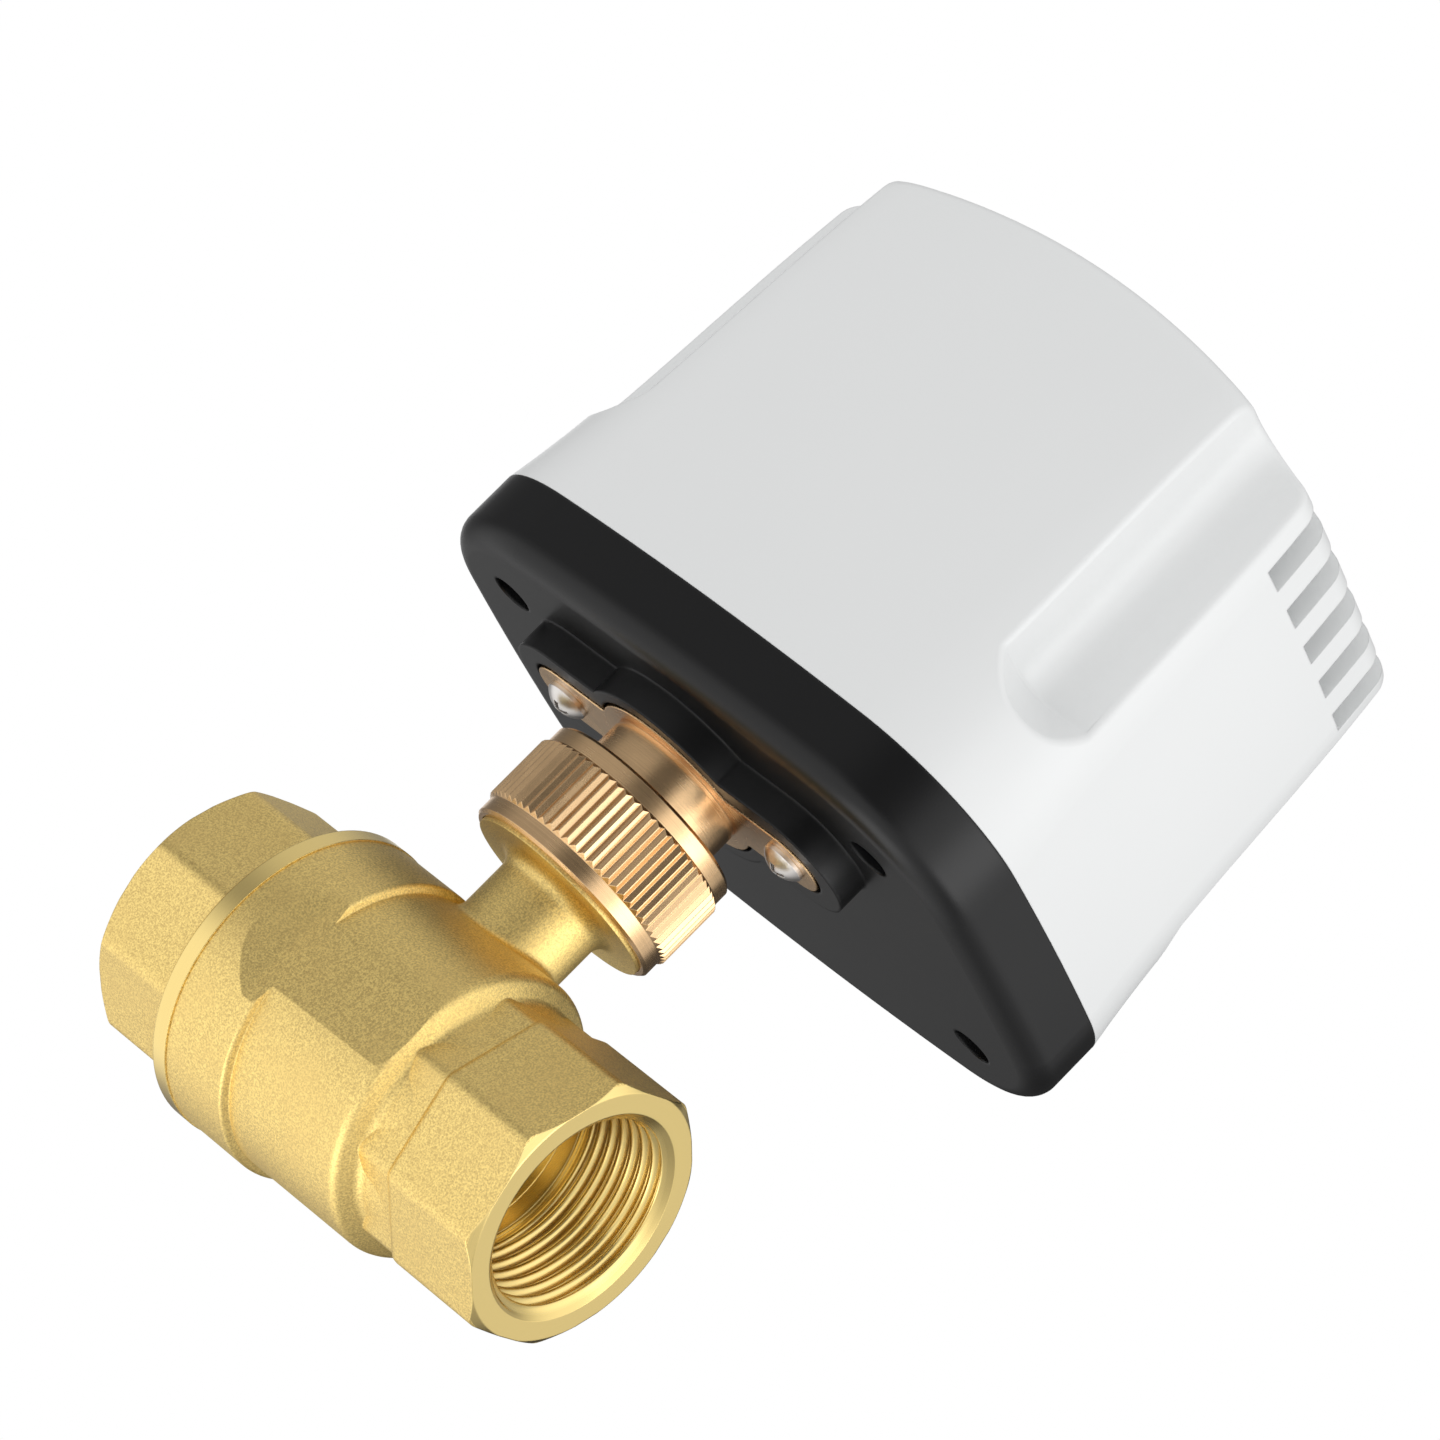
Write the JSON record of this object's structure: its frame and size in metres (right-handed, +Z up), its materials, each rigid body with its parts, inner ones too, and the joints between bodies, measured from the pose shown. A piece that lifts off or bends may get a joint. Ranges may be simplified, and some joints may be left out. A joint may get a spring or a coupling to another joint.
{
  "type": "motorized ball valve",
  "caption": "Brass two-way ball valve with internal pipe threads and a box-shaped electric actuator held on by a knurled union nut.",
  "frame": {"origin": "centre of the inlet port's face, on the pipe axis", "axes": "+X along the pipe from inlet to outlet, +Z up the stem towards the actuator"},
  "size_m": [0.089, 0.0848, 0.1437],
  "materials": {
    "valve_brass": "fine sandblasted",
    "machined_bronze": "machined",
    "ball_chrome": "polished",
    "case_black": "satin moulded",
    "case_grey": "smooth moulded",
    "steel": "bright",
    "plated_steel": "zinc plated",
    "seat_plastic": "smooth",
    "seal_rubber": "matt",
    "gear_plastic": "moulded",
    "gear_metal": "sintered",
    "copper_coil": "wound wire",
    "magnet": "ground",
    "board": "lacquered",
    "component_black": "moulded",
    "terminal_green": "moulded",
    "gland_plastic": "moulded"
  },
  "bodies": {
    "valve_and_case": {"valve_body": "valve_brass", "end_adapter": "valve_brass", "adapter_seal": "seal_rubber", "ball_seats": "seat_plastic", "thrust_washer": "seat_plastic", "locating_pins": "steel", "mounting_flange": "machined_bronze", "flange_screws": "steel", "base": "case_black", "base_gasket": "seal_rubber", "cover": "case_grey", "cover_screws": "steel", "output_bush": "seat_plastic", "gear_arbors": "steel", "lower_gear_plate": "plated_steel", "upper_gear_plate": "plated_steel", "plate_spacers": "steel", "switch_bodies": "component_black", "switch_screws": "steel", "motor_lid": "plated_steel", "motor_can": "plated_steel", "coil_bobbin": "copper_coil", "motor_screws": "steel", "circuit_board": "board", "board_posts": "steel", "board_screws": "steel", "board_components": "component_black", "terminal_block": "terminal_green", "terminal_screws": "steel", "cable_gland_body": "gland_plastic", "gland_lock_nut": "gland_plastic", "gland_seal": "seal_rubber", "gland_cap": "gland_plastic"},
    "union_nut": {"union_nut": "machined_bronze"},
    "ball_and_shaft": {"ball": "ball_chrome", "stem": "machined_bronze", "stem_seals": "seal_rubber", "output_shaft": "machined_bronze", "output_gear": "gear_metal", "lower_cam": "component_black", "upper_cam": "gear_plastic", "shaft_clip": "steel"},
    "third_gear": {"third_gear": "gear_metal"},
    "second_gear": {"second_gear": "gear_plastic"},
    "first_gear": {"first_gear": "gear_plastic"},
    "rotor": {"rotor_magnet": "magnet", "rotor_shaft": "steel", "motor_pinion": "gear_metal"},
    "lower_lever": {"lower_lever": "steel"},
    "upper_lever": {"upper_lever": "steel"},
    "lower_plunger": {"lower_plunger": "terminal_green"},
    "upper_plunger": {"upper_plunger": "terminal_green"}
  },
  "joints": [
    {"name": "ball_turn", "type": "hinge", "parent": "valve_and_case", "child": "ball_and_shaft", "pos_m": [0.0339, 0, 0], "axis": [0, 0, 1], "range_deg": [0, 90]},
    {"name": "third_gear_turn", "type": "hinge", "parent": "valve_and_case", "child": "third_gear", "pos_m": [0.04963, 0.01101, 0.064], "axis": [0, 0, 1], "range_deg": [-342.2, 0.2]},
    {"name": "second_gear_turn", "type": "hinge", "parent": "valve_and_case", "child": "second_gear", "pos_m": [0.04388, 0.0268, 0.067], "axis": [0, 0, 1], "range_deg": [-0.5, 1095]},
    {"name": "first_gear_turn", "type": "hinge", "parent": "valve_and_case", "child": "first_gear", "pos_m": [0.02715, 0.02826, 0.07], "axis": [0, 0, 1], "range_deg": [-3503, 1]},
    {"name": "rotor_turn", "type": "hinge", "parent": "valve_and_case", "child": "rotor", "pos_m": [0.01635, 0.01539, 0.08], "axis": [0, 0, 1], "range_deg": [-2, 11209]},
    {"name": "union_nut_turn", "type": "hinge", "parent": "valve_and_case", "child": "union_nut", "pos_m": [0.0339, 0, 0.035], "axis": [0, 0, 1], "range_deg": [0, 360]},
    {"name": "lower_lever_turn", "type": "hinge", "parent": "valve_and_case", "child": "lower_lever", "pos_m": [0.0549, 0.00955, 0.0784], "axis": [0, 0, -1], "range_deg": [0, 2.4], "stiffness_Nm_per_rad": 0.01, "springref_deg": -2.86},
    {"name": "upper_lever_turn", "type": "hinge", "parent": "valve_and_case", "child": "upper_lever", "pos_m": [0.0549, 0.00955, 0.0854], "axis": [0, 0, -1], "range_deg": [0, 2.4], "stiffness_Nm_per_rad": 0.01, "springref_deg": -2.86},
    {"name": "lower_plunger_slide", "type": "slide", "parent": "valve_and_case", "child": "lower_plunger", "axis": [0, 1, 0], "range_m": [0, 0.0003]},
    {"name": "upper_plunger_slide", "type": "slide", "parent": "valve_and_case", "child": "upper_plunger", "axis": [0, 1, 0], "range_m": [0, 0.0003]}
  ],
  "couplings": [
    {"joint": "third_gear_turn", "follows": "ball_turn", "ratio": -3.8},
    {"joint": "second_gear_turn", "follows": "ball_turn", "ratio": 12.16},
    {"joint": "first_gear_turn", "follows": "ball_turn", "ratio": -38.912},
    {"joint": "rotor_turn", "follows": "ball_turn", "ratio": 124.52},
    {"joint": "lower_plunger_slide", "follows": "lower_lever_turn", "m_per_rad": 0.007},
    {"joint": "upper_plunger_slide", "follows": "upper_lever_turn", "m_per_rad": 0.007}
  ]
}
